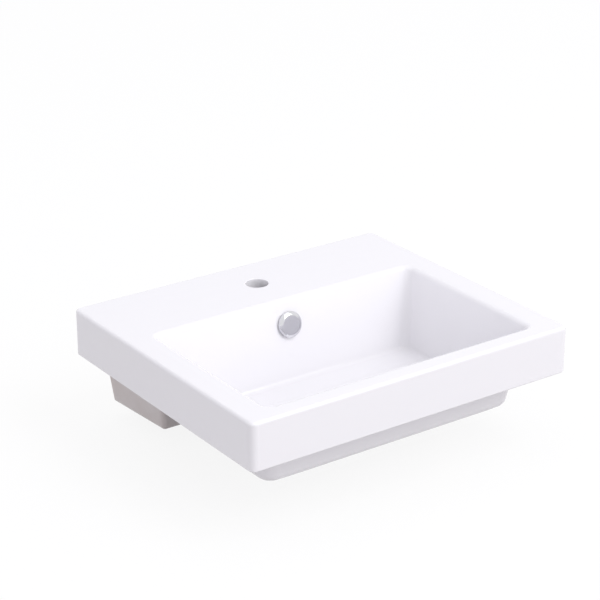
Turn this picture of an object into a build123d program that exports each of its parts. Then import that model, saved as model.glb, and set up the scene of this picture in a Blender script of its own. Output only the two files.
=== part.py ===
from build123d import *
import os
from math import cos, pi, radians, sin, tan

os.makedirs("parts", exist_ok=True)

# Frame: +X to the right seen from the front, the front faces -Y, +Z is up.
# The origin is midway between the two wall bolts, on the wall plane y = 0.

# Overall form of the china
WIDTH = 550.0
DEPTH = 470.0
APRON_HEIGHT = 72.5
BOLTS_BELOW_RIM = 105.0
CORNER_R = 10.0
RIM_EDGE_R = 5.0
APRON_EDGE_R = 2.5
APRON_WALL = 10.0
RIM_THICK = 15.0

# Mouth and inside of the bowl
SIDE_RIM = 45.0
REAR_LEDGE = 150.0
FRONT_RIM = 30.0
BOWL_DEPTH = 121.0
SIDE_DRAFT = 11.0
REAR_DRAFT = 14.0
FRONT_DRAFT = 20.0
BOWL_CORNER_R = 14.0
LIP_R = 8.0
FLOOR_FILLET_R = 8.0
FLOOR_FALL = 8.0
DRAIN_SQUARE = 92.0
DRAIN_SQUARE_R = 38.0

# Underside of the bowl
FLOOR_THICK = 10.5
UNDER_SIDE_WALL = 11.0
UNDER_FRONT_WALL = 21.0
UNDER_REAR_WALL = 12.0
UNDER_DRAFT = 9.0
UNDER_CORNER_R = 24.0
UNDER_EDGE_R = 15.0
UNDER_CORNER_FILLET = 7.0

# Wall box under the ledge, open below
BOX_HEIGHT = 98.5
BOX_DEPTH = 127.0
BOX_HALF_WIDTH = 211.5
BOX_TAPER = 4.0
BOX_DRAFT = 9.0
BOX_WALL = 11.0
BOX_EDGE_R = 8.0
BACK_WALL = 14.0

# Tap hole
TAP_HOLE_R = 17.5
TAP_HOLE_FROM_WALL = 75.0
TAP_HOLE_LIP_R = 1.5

# Wall bolts
BOLT_SPACING = 280.0
WALL_HOLE_R = 9.0
BOLT_R = 5.0
BOLT_IN_WALL = 60.0
BOLT_TIP = 8.0
BOLT_THREAD_R = 4.55
BOLT_SPARE = 7.0
BOLT_CHAMFER = 1.0
SLEEVE_CLEARANCE = 0.3
SLEEVE_FLANGE_R = 14.0
SLEEVE_FLANGE_T = 3.0
WASHER_R = 15.0
WASHER_T = 2.0
NUT_ACROSS_FLATS = 17.0
NUT_T = 8.0
NUT_CHAMFER = 0.9
THREAD_CLEARANCE = 0.05

# Overflow
OVERFLOW_DROP = 38.0
OVERFLOW_HOLE_R = 13.0
OVERFLOW_CAP_R = 19.8
OVERFLOW_CAP_GAP = 1.8
OVERFLOW_CAP_SIDE = 3.2
OVERFLOW_CAP_TOP = 7.8
OVERFLOW_CAP_FACE_R = 13.5
OVERFLOW_CAP_WALL = 1.6
OVERFLOW_CAP_CROWN = 0.55
OVERFLOW_STEM_R = 2.4
OVERFLOW_HUB_R = 4.2
OVERFLOW_SLEEVE_CLEARANCE = 0.6
OVERFLOW_SLEEVE_WALL = 1.8
OVERFLOW_SLEEVE_LENGTH = 10.0
OVERFLOW_FLANGE_R = 15.5
OVERFLOW_FLANGE_T = 1.6
OVERFLOW_SEAL_T = 1.2
OVERFLOW_SPOKE = 2.4
OVERFLOW_SPOKES = 3
SEAL_EASE = 0.3
DUCT_WIDTH = 44.0
DUCT_GAP = 11.0
DUCT_SKIN = 9.0
DUCT_RISE = 4.0
DUCT_EDGE_R = 5.0

# Waste outlet in the china
WASTE_HOLE_R = 22.5
WASTE_RECESS_R = 34.0
WASTE_RECESS_DEPTH = 4.0
WASTE_RECESS_EDGE_R = 1.0
WASTE_BOSS_R = 44.0
WASTE_BOSS_DROP = 28.0
WASTE_CHAMBER_R = 27.0
CHAMBER_DROP = 8.5
CHAMBER_HEIGHT = 10.0

# Slotted waste
FLANGE_R = 32.0
FLANGE_T = 2.6
FLANGE_EDGE_R = 1.0
SEAT_R = 25.0
SEAT_DEPTH = 1.2
TAIL_R = 20.95
TAIL_NECK_R = 20.3
TAIL_BORE_R = 18.0
TAIL_LENGTH = 60.0
TAIL_FREE = 18.0
TAIL_GROOVE = 2.5
TAIL_CHAMFER = 1.0
NECK_LENGTH = 22.0
SLOT_COUNT = 4
SLOT_WIDTH = 14.0
SLOT_HEIGHT = 8.0
SLOT_CORNER_R = 2.5
GASKET_T = 1.6
GASKET_CLEARANCE = 0.4
LOWER_GASKET_R = 34.0
LOWER_GASKET_T = 4.0
FRICTION_RING_R = 31.0
FRICTION_RING_T = 1.5
BACK_NUT_AF = 56.0
BACK_NUT_T = 8.0
BACK_NUT_CHAMFER = 1.5
CROSSBAR_DROP = 40.0
CROSSBAR_T = 5.0
CROSSBAR_SPOKE = 4.0
CROSSBAR_SPOKES = 3
HUB_R = 7.0

# Push plug and its cartridge
PLUG_TRAVEL = 8.0
PLUG_R = 27.0
PLUG_RIM_T = 1.8
PLUG_CROWN = 1.8
PLUG_EDGE_R = 0.8
PLUG_STEM_LENGTH = 4.0
PLUG_SEAL_INNER_R = 18.5
PLUG_SEAL_OUTER_R = 23.5
PLUG_SEAL_T = 1.8
CARTRIDGE_R = 8.5
CARTRIDGE_BORE_R = 6.2
CARTRIDGE_ROOF = 2.0
CARTRIDGE_FOOT_GAP = 1.0
POST_CLEARANCE = 0.3
POST_LENGTH = 16.0
POST_STUD_R = 4.0
LOCKNUT_AF = 13.0
LOCKNUT_T = 3.0
LOCKNUT_CHAMFER = 0.5
SPRING_LENGTH = 10.0
SPRING_R = 4.6
SPRING_WIRE_R = 0.55
SPRING_TURNS = 4
SPRING_END_GAP = 0.3
LATCH_PIN_R = 0.9
LATCH_PIN_FROM_FOOT = 2.8
LATCH_TRACK_CLEARANCE = 0.25
LATCH_TRACK_DEPTH = 1.6

# How far a cutting shape runs past what it cuts
OVER = 10.0

# Places that follow from the sizes
RIM_Z = BOLTS_BELOW_RIM
FLOOR_Z = RIM_Z - BOWL_DEPTH
DRAIN_Z = FLOOR_Z - FLOOR_FALL
APRON_Z = RIM_Z - APRON_HEIGHT
BOX_Z = APRON_Z - BOX_HEIGHT
MOUTH_HALF = WIDTH / 2 - SIDE_RIM
MOUTH_FRONT = -DEPTH + FRONT_RIM
MOUTH_REAR = -REAR_LEDGE
WASTE_Y = (MOUTH_FRONT + MOUTH_REAR) / 2
FLANGE_TOP = DRAIN_Z - WASTE_RECESS_DEPTH + GASKET_T + FLANGE_T
SEAT_Z = FLANGE_TOP - SEAT_DEPTH
TAIL_TOP = FLANGE_TOP - FLANGE_T
TAIL_FOOT = TAIL_TOP - TAIL_LENGTH
BOSS_FOOT = DRAIN_Z - WASTE_BOSS_DROP
HUB_TOP = FLANGE_TOP - CROSSBAR_DROP
LOCKNUT_TOP = HUB_TOP + LOCKNUT_T
CAP_FOOT = SEAT_Z + PLUG_SEAL_T
CARTRIDGE_TOP = CAP_FOOT - PLUG_STEM_LENGTH
CARTRIDGE_CEILING = CARTRIDGE_TOP - CARTRIDGE_ROOF
POST_TOP = CARTRIDGE_CEILING - SPRING_LENGTH
POST_FOOT = POST_TOP - POST_LENGTH
POST_R = CARTRIDGE_BORE_R - POST_CLEARANCE
LATCH_PIN_Z = POST_FOOT + LATCH_PIN_FROM_FOOT


def rounded_block(half_width, y_front, y_rear, radius, z):
    """A rounded rectangle, level at height z, given by its half width and its two y limits."""
    middle = (y_front + y_rear) / 2
    place = Plane.XY.offset(z) * Pos(0, middle)
    return place * RectangleRounded(2 * half_width, y_rear - y_front, radius)


def standing_cylinder(radius, height):
    """A cylinder that stands on the local origin."""
    return Cylinder(radius, height, align=(Align.CENTER, Align.CENTER, Align.MIN))


def ring(outer_r, inner_r, height, z):
    """A flat ring whose lower face is at z."""
    hole = Cylinder(inner_r, 3 * height)
    return Pos(0, 0, z) * (standing_cylinder(outer_r, height) - hole)


def hex_nut(across_flats, bore_r, thickness, chamfer_size):
    """A hexagon nut on the local Z axis with its lower face at zero and its corners turned off."""
    circle_r = across_flats / 2 / cos(pi / 6)
    body = extrude(RegularPolygon(circle_r, 6), thickness)
    turned = standing_cylinder(circle_r, thickness)
    turned = chamfer(turned.edges().filter_by(GeomType.CIRCLE), chamfer_size)
    return (body & turned) - Cylinder(bore_r, 3 * thickness)


def upright(edge):
    """True for an edge that runs mostly up and down."""
    return abs(edge.tangent_at(0.5).Z) > 0.8


def rectangle(half_width, y_front, y_rear, z):
    """A rectangle, level at height z, given by its half width and its two y limits."""
    return Plane.XY.offset(z) * Pos(0, (y_front + y_rear) / 2) * Rectangle(2 * half_width, y_rear - y_front)


def drafted_block(foot, head, corner_r):
    """A block with four flat leaning sides between two level rectangles, with its leaning corners rounded."""
    block = loft([foot, head], ruled=True)
    return fillet(block.edges().filter_by(upright), corner_r)


def with_fall(block, low_z, edge_r):
    """The block with its foot rounded and, under it, a shallow funnel down to a rounded square."""
    half = DRAIN_SQUARE / 2
    foot = block.faces().filter_by(Axis.Z).sort_by(Axis.Z)[0]
    foot_z = foot.center().Z
    low = rounded_block(half, WASTE_Y - half, WASTE_Y + half, DRAIN_SQUARE_R, low_z)
    block += loft([low.face(), foot], ruled=True)
    return fillet(block.edges().filter_by_position(Axis.Z, foot_z - 0.01, foot_z + 0.01), edge_r)


def bowl_space():
    """The space inside the bowl: four drafted walls, a floor that falls to the drain, a rounded foot."""
    side = tan(radians(SIDE_DRAFT))
    front = tan(radians(FRONT_DRAFT))
    rear = tan(radians(REAR_DRAFT))
    foot = rectangle(
        MOUTH_HALF - BOWL_DEPTH * side,
        MOUTH_FRONT + BOWL_DEPTH * front,
        MOUTH_REAR - BOWL_DEPTH * rear,
        FLOOR_Z,
    )
    head = rectangle(
        MOUTH_HALF + OVER * side,
        MOUTH_FRONT - OVER * front,
        MOUTH_REAR + OVER * rear,
        RIM_Z + OVER,
    )
    walls = drafted_block(foot, head, BOWL_CORNER_R)
    return with_fall(walls, DRAIN_Z, FLOOR_FILLET_R)


def bowl_shell():
    """The outside of the bowl below the rim."""
    half = MOUTH_HALF - BOWL_DEPTH * tan(radians(SIDE_DRAFT)) + UNDER_SIDE_WALL
    front = MOUTH_FRONT + BOWL_DEPTH * tan(radians(FRONT_DRAFT)) - UNDER_FRONT_WALL
    rear = MOUTH_REAR - BOWL_DEPTH * tan(radians(REAR_DRAFT)) + UNDER_REAR_WALL
    foot_z = FLOOR_Z - FLOOR_THICK
    head_z = RIM_Z - RIM_THICK / 2
    rise = head_z - foot_z
    spread = rise * tan(radians(UNDER_DRAFT))
    rear_spread = rise * tan(radians(REAR_DRAFT))
    foot = rectangle(half, front, rear, foot_z)
    head = rectangle(half + spread, front - spread, rear + rear_spread, head_z)
    shell = drafted_block(foot, head, UNDER_CORNER_R)
    return with_fall(shell, DRAIN_Z - FLOOR_THICK, UNDER_EDGE_R)


def duct_section(near, far, low_z, half_width, foot_z):
    """A leaning slab behind the bowl's rear wall, then a level run under the floor to the waste chamber."""
    lean = tan(radians(REAR_DRAFT))
    top_z = RIM_Z - OVERFLOW_DROP + OVERFLOW_HOLE_R + DUCT_RISE
    near_top = MOUTH_REAR - (RIM_Z - top_z) * lean + near
    far_top = MOUTH_REAR - (RIM_Z - top_z) * lean + far
    far_foot = MOUTH_REAR - (RIM_Z - foot_z) * lean + far
    near_low = MOUTH_REAR - (RIM_Z - low_z) * lean + near
    outline = Polyline(
        (near_top, top_z),
        (far_top, top_z),
        (far_foot, foot_z),
        (WASTE_Y, foot_z),
        (WASTE_Y, low_z),
        (near_low, low_z),
        close=True,
    )
    side = Plane(origin=(-half_width, 0, 0), x_dir=(0, 1, 0), z_dir=(1, 0, 0)) * make_face(outline)
    return extrude(side, 2 * half_width)


def wall_box(inset, foot_z, head_z, y_back):
    """The tapered box at the wall, drawn in by inset, from foot_z to head_z."""
    def section(z):
        rise = z - BOX_Z
        half = BOX_HALF_WIDTH - inset + rise * tan(radians(BOX_DRAFT))
        front = -BOX_DEPTH + inset - rise * tan(radians(BOX_DRAFT))
        half_front = half + front * tan(radians(BOX_TAPER))
        half_back = half + y_back * tan(radians(BOX_TAPER))
        outline = Polyline(
            (-half_back, y_back),
            (-half_front, front),
            (half_front, front),
            (half_back, y_back),
            close=True,
        )
        return Plane.XY.offset(z) * make_face(outline)

    return loft([section(foot_z), section(head_z)], ruled=True)


def ceramic_basin():
    """The basin: one glazed casting with every hole and duct in it."""
    slab = extrude(rounded_block(WIDTH / 2, -DEPTH, 0, CORNER_R, APRON_Z), APRON_HEIGHT)
    slab = fillet(slab.edges().group_by(Axis.Z)[-1], RIM_EDGE_R)
    slab = fillet(slab.edges().group_by(Axis.Z)[0], APRON_EDGE_R)
    under_z = RIM_Z - RIM_THICK
    channel = extrude(
        rounded_block(WIDTH / 2 - APRON_WALL, -DEPTH + APRON_WALL, -APRON_WALL, CORNER_R, APRON_Z - OVER),
        under_z - APRON_Z + OVER,
    )
    channel = fillet(channel.edges().group_by(Axis.Z)[-1], UNDER_CORNER_FILLET)
    body = slab - channel + bowl_shell()

    outer_box = wall_box(0.0, BOX_Z, RIM_Z - RIM_THICK / 2, OVER)
    front_corners = outer_box.edges().filter_by(upright).group_by(Axis.Y)[0]
    outer_box = fillet(front_corners, BOX_EDGE_R)
    outer_box = fillet(outer_box.edges().group_by(Axis.Z)[0], BOX_EDGE_R)
    outer_box -= Pos(0, DEPTH / 2, 0) * Box(2 * WIDTH, DEPTH, 2 * WIDTH)
    body += outer_box

    duct_top = DRAIN_Z - CHAMBER_DROP
    duct_foot = duct_top - CHAMBER_HEIGHT
    duct_far = UNDER_REAR_WALL + DUCT_GAP
    duct_half = DUCT_WIDTH / 2
    duct_shell = duct_section(0, duct_far + DUCT_SKIN, FLOOR_Z, duct_half + DUCT_SKIN, duct_foot - DUCT_SKIN)
    duct_sides = [duct_shell.faces().sort_by(Axis.X)[0], duct_shell.faces().sort_by(Axis.X)[-1]]
    body += fillet([edge for face in duct_sides for edge in face.edges()], DUCT_EDGE_R)
    body += Pos(0, WASTE_Y, BOSS_FOOT) * standing_cylinder(WASTE_BOSS_R, WASTE_BOSS_DROP)
    body -= bowl_space()
    rim_face = body.faces().filter_by(Axis.Z).sort_by(Axis.Z)[-1]
    body = fillet(rim_face.inner_wires()[0].edges(), LIP_R)

    cavity = wall_box(BOX_WALL, BOX_Z - OVER, under_z, -BACK_WALL)
    cavity = fillet(cavity.edges().filter_by(upright), BOX_EDGE_R)
    body -= fillet(cavity.edges().group_by(Axis.Z)[-1], UNDER_CORNER_FILLET)

    body -= duct_section(UNDER_REAR_WALL, duct_far, duct_top, duct_half, duct_foot)
    body -= overflow_plane() * Cylinder(OVERFLOW_HOLE_R, 2 * UNDER_REAR_WALL + DUCT_GAP)
    outlet = Pos(0, WASTE_Y, DRAIN_Z) * Cylinder(WASTE_HOLE_R, 3 * WASTE_BOSS_DROP)
    recess = Pos(0, WASTE_Y, DRAIN_Z) * Cylinder(WASTE_RECESS_R, 2 * WASTE_RECESS_DEPTH)
    chamber = Pos(0, WASTE_Y, duct_foot) * standing_cylinder(WASTE_CHAMBER_R, CHAMBER_HEIGHT)
    body = body - outlet - recess - chamber
    circles = body.edges().filter_by(GeomType.CIRCLE)
    at_drain = circles.filter_by_position(Axis.Z, DRAIN_Z - 0.01, DRAIN_Z + 0.01)
    body = fillet(at_drain.sort_by(SortBy.RADIUS)[0], WASTE_RECESS_EDGE_R)

    body -= Pos(0, -TAP_HOLE_FROM_WALL, RIM_Z) * Cylinder(TAP_HOLE_R, 4 * RIM_THICK)
    lip = body.edges().filter_by(GeomType.CIRCLE).group_by(Axis.Z)[-1]
    body = fillet(lip, TAP_HOLE_LIP_R)
    for x in (-BOLT_SPACING / 2, BOLT_SPACING / 2):
        body -= Pos(x, 0, 0) * Rot(90, 0, 0) * Cylinder(WALL_HOLE_R, 3 * BACK_WALL)
    return body


def overflow_plane():
    """The place of the overflow: its origin is on the bowl's rear wall and its Z points into the bowl."""
    z = RIM_Z - OVERFLOW_DROP
    y = MOUTH_REAR - OVERFLOW_DROP * tan(radians(REAR_DRAFT))
    lean = radians(REAR_DRAFT)
    return Plane(origin=(0, y, z), x_dir=(1, 0, 0), z_dir=(0, -cos(lean), sin(lean)))


def on_wall(shape):
    """A part drawn on the local Z axis, turned to stand off the back wall inside, once per bolt."""
    turned = Rot(90, 0, 0) * shape
    return [Pos(x, -BACK_WALL, 0) * turned for x in (-BOLT_SPACING / 2, BOLT_SPACING / 2)]


def wall_bolts():
    """Hanger bolts: a pointed wood thread in the wall, a metric thread into the box, at mean diameter."""
    reach = BACK_WALL + SLEEVE_FLANGE_T + WASHER_T + NUT_T + BOLT_SPARE
    thread = standing_cylinder(BOLT_THREAD_R, reach)
    thread = chamfer(thread.edges().group_by(Axis.Z)[-1], BOLT_CHAMFER)
    shank = Pos(0, 0, BOLT_TIP - BOLT_IN_WALL) * standing_cylinder(BOLT_R, BOLT_IN_WALL - BOLT_TIP)
    tip = Cone(BOLT_CHAMFER, BOLT_R, BOLT_TIP, align=(Align.CENTER, Align.CENTER, Align.MIN))
    bolt = thread + shank + Pos(0, 0, -BOLT_IN_WALL) * tip
    return on_wall(Pos(0, 0, -BACK_WALL) * bolt)


def wall_bolt_sleeves():
    """Flanged plastic sleeves that centre the bolts in the china's holes."""
    bore_r = BOLT_THREAD_R + SLEEVE_CLEARANCE
    neck = ring(WALL_HOLE_R - SLEEVE_CLEARANCE, bore_r, BACK_WALL, -BACK_WALL)
    flange = ring(SLEEVE_FLANGE_R, bore_r, SLEEVE_FLANGE_T, 0)
    return on_wall(neck + flange)


def wall_bolt_washers():
    """Flat washers on the sleeves."""
    return on_wall(ring(WASHER_R, BOLT_THREAD_R + SLEEVE_CLEARANCE, WASHER_T, SLEEVE_FLANGE_T))


def wall_bolt_nuts():
    """Hexagon nuts that pull the basin to the wall."""
    nut = hex_nut(NUT_ACROSS_FLATS, BOLT_THREAD_R + THREAD_CLEARANCE, NUT_T, NUT_CHAMFER)
    return on_wall(Pos(0, 0, SLEEVE_FLANGE_T + WASHER_T) * nut)


def overflow_seal():
    """Rubber ring between the china and the sleeve's flange."""
    sleeve_r = OVERFLOW_HOLE_R - OVERFLOW_SLEEVE_CLEARANCE
    return overflow_plane() * ring(OVERFLOW_FLANGE_R, sleeve_r + SEAL_EASE, OVERFLOW_SEAL_T, 0)


def overflow_insert():
    """Moulded sleeve in the overflow hole: a flange, a tube, and spokes that hold the cap's stem."""
    sleeve_r = OVERFLOW_HOLE_R - OVERFLOW_SLEEVE_CLEARANCE
    bore_r = sleeve_r - OVERFLOW_SLEEVE_WALL
    tube = ring(sleeve_r, bore_r, OVERFLOW_SLEEVE_LENGTH + OVERFLOW_SEAL_T, -OVERFLOW_SLEEVE_LENGTH)
    flange = ring(OVERFLOW_FLANGE_R, bore_r, OVERFLOW_FLANGE_T, OVERFLOW_SEAL_T)
    base = OVERFLOW_SEAL_T + OVERFLOW_FLANGE_T - OVERFLOW_SPOKE
    hub = Pos(0, 0, base) * standing_cylinder(OVERFLOW_HUB_R, OVERFLOW_SPOKE)
    reach = bore_r + OVERFLOW_SLEEVE_WALL / 2
    spoke = Box(reach, OVERFLOW_SPOKE, OVERFLOW_SPOKE, align=(Align.MIN, Align.CENTER, Align.MIN))
    body = tube + flange + hub
    for i in range(OVERFLOW_SPOKES):
        body += Pos(0, 0, base) * Rot(0, 0, 90 + i * 360 / OVERFLOW_SPOKES) * spoke
    body -= Cylinder(OVERFLOW_STEM_R + THREAD_CLEARANCE, 4 * OVERFLOW_SLEEVE_LENGTH)
    return overflow_plane() * body


def overflow_cap():
    """Chromed cap, a shallow cup that its stem holds off the bowl's wall, so that water passes under it."""
    foot = OVERFLOW_CAP_GAP
    shoulder = foot + OVERFLOW_CAP_SIDE
    bend_r = (OVERFLOW_CAP_R + OVERFLOW_CAP_FACE_R) / 2 + OVERFLOW_CAP_CROWN
    bend_z = (shoulder + OVERFLOW_CAP_TOP) / 2 + OVERFLOW_CAP_CROWN
    inner_r = OVERFLOW_CAP_R - OVERFLOW_CAP_WALL
    stem_foot = OVERFLOW_SEAL_T + OVERFLOW_FLANGE_T - OVERFLOW_SPOKE
    face_edge = (OVERFLOW_CAP_FACE_R, OVERFLOW_CAP_TOP)
    outline = Polyline(
        face_edge,
        (0, OVERFLOW_CAP_TOP),
        (0, stem_foot),
        (OVERFLOW_STEM_R, stem_foot),
        (OVERFLOW_STEM_R, shoulder),
        (inner_r, shoulder),
        (inner_r, foot),
        (OVERFLOW_CAP_R, foot),
        (OVERFLOW_CAP_R, shoulder),
    )
    outline += ThreePointArc((OVERFLOW_CAP_R, shoulder), (bend_r, bend_z), face_edge)
    return overflow_plane() * revolve(Plane.XZ * make_face(outline), Axis.Z)


def at_waste(shape):
    """Move a part drawn on the Z axis to the waste's axis."""
    return Pos(0, WASTE_Y, 0) * shape


def waste_body():
    """Slotted waste: a flange with a sunk seat, a slotted neck, a threaded tail and a crossbar with a hub."""
    neck_foot = TAIL_TOP - NECK_LENGTH
    groove_foot = TAIL_FOOT + TAIL_FREE
    outline = Polyline(
        (TAIL_BORE_R, SEAT_Z),
        (SEAT_R, SEAT_Z),
        (SEAT_R, FLANGE_TOP),
        (FLANGE_R, FLANGE_TOP),
        (FLANGE_R, TAIL_TOP),
        (TAIL_NECK_R, TAIL_TOP),
        (TAIL_NECK_R, neck_foot),
        (TAIL_R, neck_foot),
        (TAIL_R, groove_foot + TAIL_GROOVE),
        (TAIL_NECK_R, groove_foot + TAIL_GROOVE),
        (TAIL_NECK_R, groove_foot),
        (TAIL_R, groove_foot),
        (TAIL_R, TAIL_FOOT + TAIL_CHAMFER),
        (TAIL_R - TAIL_CHAMFER, TAIL_FOOT),
        (TAIL_BORE_R, TAIL_FOOT),
        close=True,
    )
    body = revolve(Plane.XZ * make_face(outline), Axis.Z)
    rim = body.edges().filter_by(GeomType.CIRCLE).group_by(Axis.Z)[-1].sort_by(SortBy.RADIUS)[-1]
    body = fillet(rim, FLANGE_EDGE_R)
    slot_z = DRAIN_Z - CHAMBER_DROP - CHAMBER_HEIGHT / 2
    slot = Box(2 * TAIL_R, SLOT_WIDTH, SLOT_HEIGHT, align=(Align.MIN, Align.CENTER, Align.CENTER))
    slot = Pos(0, 0, slot_z) * fillet(slot.edges().filter_by(Axis.X), SLOT_CORNER_R)
    for i in range(SLOT_COUNT):
        body -= Rot(0, 0, 45 + i * 360 / SLOT_COUNT) * slot
    crossbar = standing_cylinder(HUB_R, CROSSBAR_T)
    reach = (TAIL_BORE_R + TAIL_NECK_R) / 2
    spoke = Box(reach, CROSSBAR_SPOKE, CROSSBAR_T, align=(Align.MIN, Align.CENTER, Align.MIN))
    for i in range(CROSSBAR_SPOKES):
        crossbar += Rot(0, 0, 90 + i * 360 / CROSSBAR_SPOKES) * spoke
    crossbar -= Cylinder(POST_STUD_R + THREAD_CLEARANCE, 4 * CROSSBAR_T)
    body += Pos(0, 0, HUB_TOP - CROSSBAR_T) * crossbar
    return at_waste(body)


def waste_upper_gasket():
    """Soft ring between the china's recess and the flange."""
    return at_waste(ring(FLANGE_R, TAIL_NECK_R + GASKET_CLEARANCE, GASKET_T, DRAIN_Z - WASTE_RECESS_DEPTH))


def waste_lower_gasket():
    """Rubber ring under the china's boss."""
    z = BOSS_FOOT - LOWER_GASKET_T
    return at_waste(ring(LOWER_GASKET_R, TAIL_R + GASKET_CLEARANCE, LOWER_GASKET_T, z))


def waste_friction_ring():
    """Hard plastic ring that lets the nut turn under the rubber."""
    z = BOSS_FOOT - LOWER_GASKET_T - FRICTION_RING_T
    return at_waste(ring(FRICTION_RING_R, TAIL_R + GASKET_CLEARANCE, FRICTION_RING_T, z))


def waste_back_nut():
    """Flat hexagon nut on the tail."""
    z = BOSS_FOOT - LOWER_GASKET_T - FRICTION_RING_T - BACK_NUT_T
    nut = hex_nut(BACK_NUT_AF, TAIL_R + THREAD_CLEARANCE, BACK_NUT_T, BACK_NUT_CHAMFER)
    return at_waste(Pos(0, 0, z) * nut)


def cartridge_post():
    """Fixed guide post with its stud in the crossbar and a track for the latch pin."""
    post = Pos(0, 0, POST_FOOT) * standing_cylinder(POST_R, POST_LENGTH)
    stud_foot = HUB_TOP - CROSSBAR_T
    stud = Pos(0, 0, stud_foot) * standing_cylinder(POST_STUD_R, POST_FOOT - stud_foot)
    half = LATCH_PIN_R + LATCH_TRACK_CLEARANCE
    track = Pos(POST_R - LATCH_TRACK_DEPTH, 0, LATCH_PIN_Z - half) * Box(
        POST_R, 2 * half, PLUG_TRAVEL + 2 * half, align=(Align.MIN, Align.CENTER, Align.MIN)
    )
    return at_waste(post + stud - track)


def post_locknut():
    """Thin nut that locks the post's stud on the crossbar."""
    nut = hex_nut(LOCKNUT_AF, POST_STUD_R + THREAD_CLEARANCE, LOCKNUT_T, LOCKNUT_CHAMFER)
    return at_waste(Pos(0, 0, HUB_TOP) * nut)


def cartridge_spring():
    """Compression spring between the post and the cartridge's roof."""
    foot = POST_TOP + SPRING_WIRE_R
    height = SPRING_LENGTH - 2 * SPRING_WIRE_R - SPRING_END_GAP
    path = Helix(height / SPRING_TURNS, height, SPRING_R)
    start = Plane(origin=path @ 0, z_dir=path % 0)
    return at_waste(Pos(0, 0, foot) * sweep(start * Circle(SPRING_WIRE_R), path=path))


def cartridge_sleeve():
    """Moulded sleeve that slides on the post and carries the plug."""
    foot = LOCKNUT_TOP + CARTRIDGE_FOOT_GAP
    sleeve = standing_cylinder(CARTRIDGE_R, CARTRIDGE_TOP - foot)
    sleeve -= Pos(0, 0, -OVER) * standing_cylinder(CARTRIDGE_BORE_R, CARTRIDGE_CEILING - foot + OVER)
    pin_hole = standing_cylinder(LATCH_PIN_R + THREAD_CLEARANCE, CARTRIDGE_R + OVER)
    sleeve = Pos(0, 0, foot) * sleeve - Pos(0, 0, LATCH_PIN_Z) * Rot(0, 90, 0) * pin_hole
    return at_waste(sleeve)


def latch_pin():
    """Steel pin through the sleeve's wall into the post's track."""
    inner = POST_R - LATCH_TRACK_DEPTH + POST_CLEARANCE
    pin = standing_cylinder(LATCH_PIN_R, CARTRIDGE_R - inner)
    return at_waste(Pos(inner, 0, LATCH_PIN_Z) * Rot(0, 90, 0) * pin)


def plug_cap():
    """Chromed plug: a crowned disc with a short stem."""
    top = PLUG_RIM_T + PLUG_CROWN
    crown_r = (PLUG_R**2 + PLUG_CROWN**2) / (2 * PLUG_CROWN)
    half_r = PLUG_R / 2
    half_z = top - crown_r + (crown_r**2 - half_r**2) ** 0.5
    outline = Polyline((0, top), (0, 0), (PLUG_R, 0), (PLUG_R, PLUG_RIM_T))
    outline += ThreePointArc((PLUG_R, PLUG_RIM_T), (half_r, half_z), (0, top))
    disc = revolve(Plane.XZ * make_face(outline), Axis.Z)
    disc = fillet(disc.edges().filter_by_position(Axis.Z, PLUG_RIM_T - 0.01, PLUG_RIM_T + 0.01), PLUG_EDGE_R)
    stem = Pos(0, 0, -PLUG_STEM_LENGTH) * standing_cylinder(CARTRIDGE_R, PLUG_STEM_LENGTH)
    return at_waste(Pos(0, 0, CAP_FOOT) * (disc + stem))


def plug_seal():
    """Rubber ring under the plug that closes on the sunk seat."""
    return at_waste(ring(PLUG_SEAL_OUTER_R, PLUG_SEAL_INNER_R, PLUG_SEAL_T, SEAT_Z))


PIECES = (
    ceramic_basin,
    overflow_cap,
    overflow_insert,
    overflow_seal,
    waste_body,
    waste_upper_gasket,
    waste_lower_gasket,
    waste_friction_ring,
    waste_back_nut,
    cartridge_post,
    post_locknut,
    cartridge_spring,
    cartridge_sleeve,
    latch_pin,
    plug_cap,
    plug_seal,
    wall_bolts,
    wall_bolt_sleeves,
    wall_bolt_washers,
    wall_bolt_nuts,
)

for piece in PIECES:
    made = piece()
    if isinstance(made, list):
        made = Compound(children=made)
    export_step(made, f"parts/{piece.__name__}.step")
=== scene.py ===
from math import cos, pi, radians, sin, sqrt

import bmesh
import bpy
from mathutils import Matrix, Vector


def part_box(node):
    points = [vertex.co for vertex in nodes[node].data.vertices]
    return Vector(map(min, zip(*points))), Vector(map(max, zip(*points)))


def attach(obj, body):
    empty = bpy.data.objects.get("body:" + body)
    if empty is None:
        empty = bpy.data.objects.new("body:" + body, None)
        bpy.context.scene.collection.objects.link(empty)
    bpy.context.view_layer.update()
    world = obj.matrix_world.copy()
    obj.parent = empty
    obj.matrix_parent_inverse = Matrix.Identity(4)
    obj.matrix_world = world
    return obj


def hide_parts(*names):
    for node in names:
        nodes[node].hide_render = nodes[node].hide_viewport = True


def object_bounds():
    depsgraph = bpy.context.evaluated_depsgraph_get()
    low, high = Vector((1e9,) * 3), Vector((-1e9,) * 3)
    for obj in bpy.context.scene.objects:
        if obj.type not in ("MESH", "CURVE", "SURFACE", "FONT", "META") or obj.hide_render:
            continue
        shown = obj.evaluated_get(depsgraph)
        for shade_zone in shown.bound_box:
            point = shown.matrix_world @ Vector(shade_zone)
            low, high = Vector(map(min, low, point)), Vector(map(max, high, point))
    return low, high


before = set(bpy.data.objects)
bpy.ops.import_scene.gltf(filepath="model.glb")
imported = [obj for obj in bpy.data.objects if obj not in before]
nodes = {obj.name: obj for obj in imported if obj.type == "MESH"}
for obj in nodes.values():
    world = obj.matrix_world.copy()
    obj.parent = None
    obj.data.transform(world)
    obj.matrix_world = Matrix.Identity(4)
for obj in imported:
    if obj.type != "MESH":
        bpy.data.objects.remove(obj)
cad_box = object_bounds()


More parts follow.
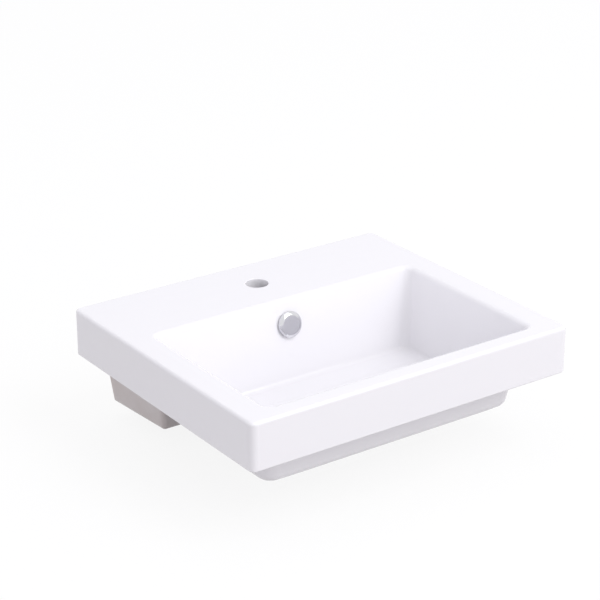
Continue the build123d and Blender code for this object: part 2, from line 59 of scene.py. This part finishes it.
# Camera. The photograph looks down on the basin's front left corner, with a long lens from about 2.9 m.
# The place, direction and lens were fitted to the basin's straight edges in the photograph.
CAMERA_PLACE = Vector((-1.5331, -2.3678, 1.2376))
CAMERA_AZIMUTH = radians(-35.126)
CAMERA_ELEVATION = radians(22.828)
CAMERA_ROLL = radians(-0.108)
CAMERA_LENS = 117.91
CAMERA_SENSOR = 36.0

camera_data = bpy.data.cameras.new("camera")
camera_data.lens = CAMERA_LENS
camera_data.sensor_width = CAMERA_SENSOR
camera = bpy.data.objects.new("camera", camera_data)
bpy.context.scene.collection.objects.link(camera)
camera.matrix_world = (
    Matrix.Translation(CAMERA_PLACE)
    @ Matrix.Rotation(CAMERA_AZIMUTH, 4, "Z")
    @ Matrix.Rotation(pi / 2 - CAMERA_ELEVATION, 4, "X")
    @ Matrix.Rotation(CAMERA_ROLL, 4, "Z")
)
bpy.context.scene.camera = camera


# Studio. A white floor just below the waste's tail, two soft lamps in front, high and to the right, and a
# pale room, so that the left side and the underside fall into a soft grey. Seen directly or in a
# reflection, the floor is paper white with the shadow kept faint, and from below it lets the view through.
FLOOR_GAP = 0.002
FLOOR_HALF = 20.0
FLOOR_CELLS = 8
FLOOR_HEX = "#FFFFFF"
FLOOR_BOUNCE_HEX = "#B9B6B6"
PAPER_ROUGHNESS = 0.9
PAPER_SHEEN = 0.1
PAPER_SHARE = 0.88
WORLD_HEX = "#F4F3F8"
WORLD_LEVEL = 1.5
WORLD_BANDS = ((0.0, 0.67), (0.2, 1.0), (0.55, 0.42), (1.0, 0.6))
LAMP_AIM = Vector((0.0, -0.25, 0.0))
LAMPS = (
    ("front_softbox", (2.3, -5.1, 3.6), 3.2, 85.0),
    ("top_softbox", (1.5, -3.6, 5.2), 3.0, 98.0),
)


def linear(code):
    """An sRGB hex value as linear red, green, blue and alpha."""
    channels = [int(code[i : i + 2], 16) / 255 for i in (1, 3, 5)]
    return tuple(c / 12.92 if c <= 0.04045 else ((c + 0.055) / 1.055) ** 2.4 for c in channels) + (1.0,)


def add_node(tree, kind, inputs=None, **settings):
    """Add a node, set its settings, and set each input to a value or link it to a socket."""
    made = tree.nodes.new(kind)
    for name, value in settings.items():
        setattr(made, name, value)
    for name, value in (inputs or {}).items():
        if isinstance(value, bpy.types.NodeSocket):
            tree.links.new(value, made.inputs[name])
        else:
            made.inputs[name].default_value = value
    return made


def new_material(name):
    """A material with its node tree and its surface shader."""
    material = bpy.data.materials.new(name)
    material.use_nodes = True
    tree = material.node_tree
    return material, tree, tree.nodes["Principled BSDF"]


def seen_directly(tree):
    """A socket that is 1 where the camera sees a surface, also in a reflection or through glass."""
    path = add_node(tree, "ShaderNodeLightPath")
    mirrored = add_node(
        tree,
        "ShaderNodeMath",
        {0: path.outputs["Is Glossy Ray"], 1: path.outputs["Is Transmission Ray"]},
        operation="MAXIMUM",
    )
    either = {0: path.outputs["Is Camera Ray"], 1: mirrored.outputs[0]}
    return add_node(tree, "ShaderNodeMath", either, operation="MAXIMUM").outputs[0]


floor_mesh = bmesh.new()
bmesh.ops.create_grid(floor_mesh, x_segments=FLOOR_CELLS, y_segments=FLOOR_CELLS, size=FLOOR_HALF)
floor_data = bpy.data.meshes.new("floor")
floor_mesh.to_mesh(floor_data)
floor_mesh.free()
floor = bpy.data.objects.new("floor", floor_data)
floor.location = (0, 0, cad_box[0].z - FLOOR_GAP)
bpy.context.scene.collection.objects.link(floor)

# Matt white paper, which sends back a little less light than it shows, so that the shadows stay soft.
paper, tree, shader = new_material("matt_white_paper")
seen = seen_directly(tree)
tone = add_node(
    tree,
    "ShaderNodeMix",
    {"Factor": seen, "A": linear(FLOOR_BOUNCE_HEX), "B": linear(FLOOR_HEX)},
    data_type="RGBA",
)
tree.links.new(tone.outputs["Result"], shader.inputs["Base Color"])
shader.inputs["Roughness"].default_value = PAPER_ROUGHNESS
shader.inputs["Specular IOR Level"].default_value = PAPER_SHEEN
glow = add_node(tree, "ShaderNodeEmission", {"Color": linear(FLOOR_HEX), "Strength": 1.0})
lit = add_node(tree, "ShaderNodeMath", {0: seen, 1: PAPER_SHARE}, operation="MULTIPLY")
sheet = add_node(
    tree, "ShaderNodeMixShader", {0: lit.outputs[0], 1: shader.outputs["BSDF"], 2: glow.outputs["Emission"]}
)
side = add_node(tree, "ShaderNodeNewGeometry")
clear = add_node(tree, "ShaderNodeBsdfTransparent")
one_sided = add_node(
    tree,
    "ShaderNodeMixShader",
    {0: side.outputs["Backfacing"], 1: sheet.outputs[0], 2: clear.outputs["BSDF"]},
)
tree.links.new(one_sided.outputs[0], tree.nodes["Material Output"].inputs["Surface"])
floor_data.materials.append(paper)

world = bpy.data.worlds.new("studio")
world.use_nodes = True
bpy.context.scene.world = world
tree = world.node_tree
background = tree.nodes["Background"]
seen = seen_directly(tree)
direction = add_node(tree, "ShaderNodeTexCoord").outputs["Generated"]
way = add_node(tree, "ShaderNodeSeparateXYZ", {"Vector": direction})
sky = add_node(tree, "ShaderNodeValToRGB", {"Fac": way.outputs["Z"]})
sky.color_ramp.elements.remove(sky.color_ramp.elements[1])
for height, share in WORLD_BANDS:
    stop = sky.color_ramp.elements.new(height) if height else sky.color_ramp.elements[0]
    stop.color = (share, share, share, 1.0)
strength = add_node(tree, "ShaderNodeMath", {0: sky.outputs["Color"], 1: WORLD_LEVEL}, operation="MULTIPLY")
level = add_node(
    tree, "ShaderNodeMix", {"Factor": seen, "A": strength.outputs[0], "B": 1.0}, data_type="FLOAT"
)
tree.links.new(level.outputs["Result"], background.inputs["Strength"])
air = add_node(
    tree,
    "ShaderNodeMix",
    {"Factor": seen, "A": linear(WORLD_HEX), "B": linear(FLOOR_HEX)},
    data_type="RGBA",
)
tree.links.new(air.outputs["Result"], background.inputs["Color"])

for name, place, size, power in LAMPS:
    lamp_data = bpy.data.lights.new(name, "AREA")
    lamp_data.shape = "SQUARE"
    lamp_data.size = size
    lamp_data.energy = power
    lamp = bpy.data.objects.new(name, lamp_data)
    lamp.location = place
    lamp.rotation_euler = (LAMP_AIM - Vector(place)).to_track_quat("-Z", "Y").to_euler()
    bpy.context.scene.collection.objects.link(lamp)

bpy.context.scene.view_settings.view_transform = "Standard"


# Basin. One slip-cast piece of vitreous china, sprayed with white glaze and fired once. Low down behind the
# bowl, under the slab, its colour is darkened to a warm grey as painted shade, and the glaze is left off the
# back face, which is ground flat for the wall.
GLAZE_HEX = "#F2F1F4"
GLAZE_ROUGHNESS = (0.05, 0.09)
GLAZE_WAVE_MM = 26.0
GLAZE_WAVE_DEPTH_MM = 0.6
GLAZE_WAVE_STRENGTH = 0.35
GLAZE_PEEL_MM = 3.5
GLAZE_PEEL_DEPTH_MM = 0.06
GLAZE_PEEL_STRENGTH = 0.2
# Painted shade: a darker warm grey mixed into the glaze colour low down behind the bowl, under the slab,
# where shade falls. The zone spans the Z and Y ranges below, and noise sets its strength.
PAINTED_SHADE_HEX = "#D2C9C6"
PAINTED_SHADE_BELOW = (0.034, 0.026)
PAINTED_SHADE_BEHIND = (-0.150, -0.132)
PAINTED_SHADE_STRENGTH = (0.75, 1.0)
TONE_PATCH_MM = 90.0
BARE_CLAY_HEX = "#E3DACB"
BARE_EDGE_MM = 0.6
CLAY_ROUGHNESS = 0.85
CLAY_CLOUD_HEX = "#D3C7B4"
CLAY_SPECK_HEX = "#8A7560"
CLAY_SPECK_MM = 5.0
CLAY_SPECK_EDGE = (0.09, 0.05)
CLAY_GRIT_MM = 1.2
CLAY_GRIT_DEPTH_MM = 0.3
CLAY_GRIT_STRENGTH = 0.8

# Sprayed and fired glaze: a glassy white with a slow wave and a fine peel, so that its highlights wander a
# little. Low down behind the bowl a darker warm grey is painted in as shade, patchy with noise, and the bare
# clay is matt, gritty and specked.
china, tree, shader = new_material("glazed_vitreous_china")
place = add_node(tree, "ShaderNodeTexCoord").outputs["Object"]
axes = add_node(tree, "ShaderNodeSeparateXYZ", {"Vector": place})
patches = add_node(
    tree,
    "ShaderNodeTexNoise",
    {"Vector": place, "Scale": 1000 / TONE_PATCH_MM, "Detail": 3.0, "Roughness": 0.5},
)
# Painted shade: under the slab and behind the bowl the glaze colour turns toward the warm grey, with a
# strength that noise makes patchy.
below = add_node(
    tree,
    "ShaderNodeMapRange",
    {"Value": axes.outputs["Z"], "From Min": PAINTED_SHADE_BELOW[0], "From Max": PAINTED_SHADE_BELOW[1]},
)
behind = add_node(
    tree,
    "ShaderNodeMapRange",
    {"Value": axes.outputs["Y"], "From Min": PAINTED_SHADE_BEHIND[0], "From Max": PAINTED_SHADE_BEHIND[1]},
)
shade_zone = add_node(
    tree, "ShaderNodeMath", {0: below.outputs["Result"], 1: behind.outputs["Result"]}, operation="MULTIPLY"
)
shade_strength = add_node(
    tree,
    "ShaderNodeMapRange",
    {
        "Value": patches.outputs["Fac"],
        "From Min": 0.35,
        "From Max": 0.6,
        "To Min": PAINTED_SHADE_STRENGTH[0],
        "To Max": PAINTED_SHADE_STRENGTH[1],
    },
)
painted_shade = add_node(
    tree, "ShaderNodeMath", {0: shade_zone.outputs[0], 1: shade_strength.outputs["Result"]}, operation="MULTIPLY"
)
glaze_and_shade = add_node(
    tree,
    "ShaderNodeMix",
    {"Factor": painted_shade.outputs[0], "A": linear(GLAZE_HEX), "B": linear(PAINTED_SHADE_HEX)},
    data_type="RGBA",
)
bare = add_node(
    tree,
    "ShaderNodeMapRange",
    {"Value": axes.outputs["Y"], "From Min": -BARE_EDGE_MM / 1000, "From Max": -BARE_EDGE_MM / 4000},
)
cloud = add_node(
    tree,
    "ShaderNodeMix",
    {"Factor": patches.outputs["Fac"], "A": linear(BARE_CLAY_HEX), "B": linear(CLAY_CLOUD_HEX)},
    data_type="RGBA",
)
cells = add_node(
    tree, "ShaderNodeTexVoronoi", {"Vector": place, "Scale": 1000 / CLAY_SPECK_MM, "Randomness": 1.0}
)
speck = add_node(
    tree,
    "ShaderNodeMapRange",
    {"Value": cells.outputs["Distance"], "From Min": CLAY_SPECK_EDGE[0], "From Max": CLAY_SPECK_EDGE[1]},
)
clay = add_node(
    tree,
    "ShaderNodeMix",
    {"Factor": speck.outputs["Result"], "A": cloud.outputs["Result"], "B": linear(CLAY_SPECK_HEX)},
    data_type="RGBA",
)
skin = add_node(
    tree,
    "ShaderNodeMix",
    {"Factor": bare.outputs["Result"], "A": glaze_and_shade.outputs["Result"], "B": clay.outputs["Result"]},
    data_type="RGBA",
)
tree.links.new(skin.outputs["Result"], shader.inputs["Base Color"])
gloss = add_node(
    tree,
    "ShaderNodeMapRange",
    {
        "Value": patches.outputs["Fac"],
        "From Min": 0.3,
        "From Max": 0.7,
        "To Min": GLAZE_ROUGHNESS[0],
        "To Max": GLAZE_ROUGHNESS[1],
    },
)
worn = add_node(
    tree,
    "ShaderNodeMix",
    {"Factor": bare.outputs["Result"], "A": gloss.outputs["Result"], "B": CLAY_ROUGHNESS},
    data_type="FLOAT",
)
tree.links.new(worn.outputs["Result"], shader.inputs["Roughness"])
wave = add_node(
    tree,
    "ShaderNodeTexNoise",
    {"Vector": place, "Scale": 1000 / GLAZE_WAVE_MM, "Detail": 1.0, "Roughness": 0.4},
)
peel = add_node(
    tree,
    "ShaderNodeTexNoise",
    {"Vector": place, "Scale": 1000 / GLAZE_PEEL_MM, "Detail": 2.0, "Roughness": 0.5},
)
grit = add_node(
    tree,
    "ShaderNodeTexNoise",
    {"Vector": place, "Scale": 1000 / CLAY_GRIT_MM, "Detail": 3.0, "Roughness": 0.7},
)
broad = add_node(
    tree,
    "ShaderNodeBump",
    {
        "Height": wave.outputs["Fac"],
        "Strength": GLAZE_WAVE_STRENGTH,
        "Distance": GLAZE_WAVE_DEPTH_MM / 1000,
    },
)
fine = add_node(
    tree,
    "ShaderNodeBump",
    {
        "Height": peel.outputs["Fac"],
        "Strength": GLAZE_PEEL_STRENGTH,
        "Distance": GLAZE_PEEL_DEPTH_MM / 1000,
        "Normal": broad.outputs["Normal"],
    },
)
rough = add_node(
    tree, "ShaderNodeMath", {0: grit.outputs["Fac"], 1: bare.outputs["Result"]}, operation="MULTIPLY"
)
coarse = add_node(
    tree,
    "ShaderNodeBump",
    {
        "Height": rough.outputs[0],
        "Strength": CLAY_GRIT_STRENGTH,
        "Distance": CLAY_GRIT_DEPTH_MM / 1000,
        "Normal": fine.outputs["Normal"],
    },
)
tree.links.new(coarse.outputs["Normal"], shader.inputs["Normal"])


def dress(name, material):
    """Give a carried-over piece its finish."""
    mesh = nodes[name].data
    mesh.materials.clear()
    mesh.materials.append(material)


dress("ceramic_basin", china)


# Overflow. A chromed plastic cap stands off the bowl's rear wall on a stem, which a moulded grey sleeve
# holds in the hole, against a rubber ring that keeps it from rattling on the glaze.
CHROME_HEX = "#DCDCE0"
POLISH_MM = 0.7
POLISH_DEPTH_MM = 0.02
POLISH_STRENGTH = 0.05
MOULD_STRENGTH = 0.6
MOULD_DARK = 0.86


def chrome(name, base, roughness):
    """Bright metal or plating: faint polishing lines that blur what it reflects a little."""
    material, tree, shader = new_material(name)
    place = add_node(tree, "ShaderNodeTexCoord").outputs["Object"]
    lines = add_node(
        tree,
        "ShaderNodeTexNoise",
        {"Vector": place, "Scale": 1000 / POLISH_MM, "Detail": 4.0, "Roughness": 0.6},
    )
    haze = add_node(
        tree,
        "ShaderNodeMapRange",
        {
            "Value": lines.outputs["Fac"],
            "From Min": 0.3,
            "From Max": 0.7,
            "To Min": roughness,
            "To Max": 2 * roughness,
        },
    )
    ripple = add_node(
        tree,
        "ShaderNodeBump",
        {"Height": lines.outputs["Fac"], "Strength": POLISH_STRENGTH, "Distance": POLISH_DEPTH_MM / 1000},
    )
    shader.inputs["Base Color"].default_value = linear(base)
    shader.inputs["Metallic"].default_value = 1.0
    tree.links.new(haze.outputs["Result"], shader.inputs["Roughness"])
    tree.links.new(ripple.outputs["Normal"], shader.inputs["Normal"])
    return material


def moulded(name, base, roughness, grain_mm, depth_mm):
    """A moulded part: one colour with slight cloudiness, and the fine texture of the mould."""
    material, tree, shader = new_material(name)
    place = add_node(tree, "ShaderNodeTexCoord").outputs["Object"]
    cloud = add_node(tree, "ShaderNodeTexNoise", {"Vector": place, "Scale": 100 / grain_mm, "Detail": 2.0})
    grain = add_node(tree, "ShaderNodeTexNoise", {"Vector": place, "Scale": 1000 / grain_mm, "Detail": 3.0})
    dark = tuple(MOULD_DARK * c for c in linear(base)[:3]) + (1.0,)
    tint = add_node(
        tree,
        "ShaderNodeMix",
        {"Factor": cloud.outputs["Fac"], "A": dark, "B": linear(base)},
        data_type="RGBA",
    )
    relief = add_node(
        tree,
        "ShaderNodeBump",
        {"Height": grain.outputs["Fac"], "Strength": MOULD_STRENGTH, "Distance": depth_mm / 1000},
    )
    tree.links.new(tint.outputs["Result"], shader.inputs["Base Color"])
    shader.inputs["Roughness"].default_value = roughness
    tree.links.new(relief.outputs["Normal"], shader.inputs["Normal"])
    return material


# Plated plastic is the brightest mirror here. The rubber is matt and near black, and the acetal is waxy.
chrome_plate = chrome("chrome_plated_plastic", CHROME_HEX, 0.05)
rubber = moulded("moulded_black_rubber", "#26262A", 0.6, 0.8, 0.05)
grey_acetal = moulded("moulded_grey_acetal", "#8E9094", 0.4, 1.0, 0.03)
dress("overflow_cap", chrome_plate)
dress("overflow_insert", grey_acetal)
dress("overflow_seal", rubber)


# Waste. A turned and chromed brass body hangs in the outlet between two rubber rings, clamped from below
# by a flat nut on a plastic ring. Its tail has a G 1 1/4 pipe thread, 11 to the inch, cut round the bore,
# and the free stretch below the nut takes the trap. Each point of a thread's form is a share of its pitch
# and a share of its depth.
THREAD_SIDES = 48
THREAD_FORM = ((0.0, 0.0), (0.17, 0.0), (0.5, 1.0), (0.67, 1.0))
THREAD_MERGE = 0.000001
POINT_SHARE = 0.05
SHARP_ANGLE = radians(50)
TAIL_PITCH = 0.002309
TAIL_CREST_R = 0.02095
TAIL_ROOT_R = 0.01948
TAIL_CORE_R = 0.0194
TAIL_INNER_R = 0.0188
TAIL_FREE = 0.018
TAIL_RUN_OUT = 0.0004
TAIL_SLACK = 0.0001
WASTE_Y = -0.295


def piece(name, shape, material, body):
    """Turn a bmesh into a piece that rides on a body, smooth except where its faces meet sharply."""
    data = bpy.data.meshes.new(name)
    shape.to_mesh(data)
    shape.free()
    data.materials.append(material)
    data.shade_smooth()
    data.set_sharp_from_angle(angle=SHARP_ANGLE)
    made = bpy.data.objects.new(name, data)
    bpy.context.scene.collection.objects.link(made)
    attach(made, body)
    return made


def thread(shape, root_r, crest_r, pitch, foot, head, place, point=0.0, bore_r=0.0):
    """Add a closed rod, or a tube, with a helical thread along its Z axis, which runs out at both ends."""
    rows = []
    for turn in range(-1, int((head - foot) / pitch) + 2):
        for share, height in THREAD_FORM:
            rows.append((foot + (turn + share) * pitch, root_r + height * (crest_r - root_r)))
    grid = []
    for column in range(THREAD_SIDES):
        angle = 2 * pi * column / THREAD_SIDES
        points = []
        for z, radius in rows:
            z += pitch * column / THREAD_SIDES
            if not foot < z < head:
                z, radius = min(max(z, foot), head), root_r
            if point:
                radius *= min(1.0, max(POINT_SHARE, (z - foot) / point))
            points.append(shape.verts.new(place @ Vector((radius * cos(angle), radius * sin(angle), z))))
        grid.append(points)
    made = [vert for points in grid for vert in points]
    for column, points in enumerate(grid):
        last = column == THREAD_SIDES - 1
        beside = grid[0][len(THREAD_FORM) :] if last else grid[column + 1]
        for k in range(len(beside) - 1):
            shape.faces.new((points[k], beside[k], beside[k + 1], points[k + 1]))
    walls = []
    for column, points in enumerate(grid if bore_r else ()):
        angle = 2 * pi * column / THREAD_SIDES
        inside = [place @ Vector((bore_r * cos(angle), bore_r * sin(angle), z)) for z in (head, foot)]
        walls.append((points[-1], shape.verts.new(inside[0]), shape.verts.new(inside[1]), points[0]))
    for column, wall in enumerate(walls):
        beside = walls[(column + 1) % THREAD_SIDES]
        for k in range(len(wall) - 1):
            shape.faces.new((wall[k], beside[k], beside[k + 1], wall[k + 1]))
    bmesh.ops.remove_doubles(shape, verts=made, dist=THREAD_MERGE)
    ends = [edge for edge in shape.edges if edge.is_boundary]
    bmesh.ops.holes_fill(shape, edges=ends, sides=0)
    bmesh.ops.recalc_face_normals(shape, faces=shape.faces)


# Plated brass mirrors a shade less sharply than plated plastic, and the ring is a dull off-white.
brass_chrome = chrome("chrome_plated_brass", CHROME_HEX, 0.07)
polypropylene = moulded("moulded_polypropylene", "#E4E5E2", 0.45, 1.2, 0.03)
dress("waste_back_nut", brass_chrome)
dress("waste_upper_gasket", rubber)
dress("waste_lower_gasket", rubber)
dress("waste_friction_ring", polypropylene)

tail_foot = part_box("waste_body")[0].z
waste = bmesh.new()
waste.from_mesh(nodes["waste_body"].data)
for vert in waste.verts:
    reach = sqrt(vert.co.x**2 + (vert.co.y - WASTE_Y) ** 2)
    if vert.co.z < tail_foot + TAIL_FREE + TAIL_SLACK and reach > TAIL_CORE_R:
        vert.co.x *= TAIL_CORE_R / reach
        vert.co.y = WASTE_Y + (vert.co.y - WASTE_Y) * TAIL_CORE_R / reach
waste_piece = piece("slotted_waste", waste, brass_chrome, "basin")
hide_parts("waste_body")

tail = bmesh.new()
stretch = (tail_foot + TAIL_RUN_OUT, tail_foot + TAIL_FREE - TAIL_RUN_OUT)
along = Matrix.Translation((0, WASTE_Y, 0))
thread(tail, TAIL_ROOT_R, TAIL_CREST_R, TAIL_PITCH, *stretch, along, bore_r=TAIL_INNER_R)
piece("waste_tail_thread", tail, brass_chrome, "basin")


# Push cartridge. A white acetal sleeve slides on an acetal post, which a thin brass nut locks in the
# waste's crossbar. A coil of drawn stainless wire lifts it, and a steel pin in the post's track stops it.
white_acetal = moulded("moulded_white_acetal", "#ECECE6", 0.4, 1.0, 0.02)
# Turned brass and drawn wire keep fine tool lines, so they reflect softly.
turned_brass = chrome("turned_brass", "#D0A85C", 0.16)
spring_steel = chrome("drawn_stainless_wire", "#B4B6B8", 0.14)
dress("cartridge_post", white_acetal)
dress("cartridge_sleeve", white_acetal)
dress("post_locknut", turned_brass)
dress("cartridge_spring", spring_steel)
dress("latch_pin", spring_steel)


# Plug. A crowned disc of turned and chromed brass with a moulded rubber ring under it. It is fixed on the
# cartridge's sleeve, which lifts it 8 mm off its seat.
dress("plug_cap", brass_chrome)
dress("plug_seal", rubber)


# Wall fixings. Two zinc-plated steel hanger bolts hold the china by nylon sleeves, flat washers and hexagon
# nuts. Each has a rolled M10 thread on the room side of the wall, a plain collar, and a coarse pointed
# wood thread for the plug in the wall.
BOLT_X = 0.140
BOLT_CREST_R = 0.00497
METRIC_ROOT_R = 0.00412
METRIC_PITCH = 0.0015
WOOD_ROOT_R = 0.0035
WOOD_PITCH = 0.0045
WOOD_TIP = 0.008
COLLAR = 0.005
COLLAR_R = 0.004473
COLLAR_OVERLAP = 0.001

# Zinc plating is a cold grey with a soft shine, and nylon a slightly yellow white.
zinc = chrome("zinc_plated_steel", "#B9BDC1", 0.2)
nylon = moulded("moulded_nylon", "#E6E3D6", 0.5, 1.0, 0.03)
dress("wall_bolt_washers", zinc)
dress("wall_bolt_nuts", zinc)
dress("wall_bolt_sleeves", nylon)

bolt_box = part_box("wall_bolts")
bolts = bmesh.new()
for x in (-BOLT_X, BOLT_X):
    along = Matrix.Translation((x, 0, 0)) @ Matrix.Rotation(pi / 2, 4, "X")
    thread(bolts, METRIC_ROOT_R, BOLT_CREST_R, METRIC_PITCH, 0.0, -bolt_box[0].y, along)
    thread(bolts, WOOD_ROOT_R, BOLT_CREST_R, WOOD_PITCH, -bolt_box[1].y, -COLLAR, along, point=WOOD_TIP)
    bmesh.ops.create_cone(
        bolts,
        cap_ends=True,
        segments=THREAD_SIDES,
        radius1=COLLAR_R,
        radius2=COLLAR_R,
        depth=COLLAR + 2 * COLLAR_OVERLAP,
        matrix=along @ Matrix.Translation((0, 0, -COLLAR / 2)),
    )
bolt_piece = piece("hanger_bolts", bolts, zinc, "basin")
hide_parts("wall_bolts")
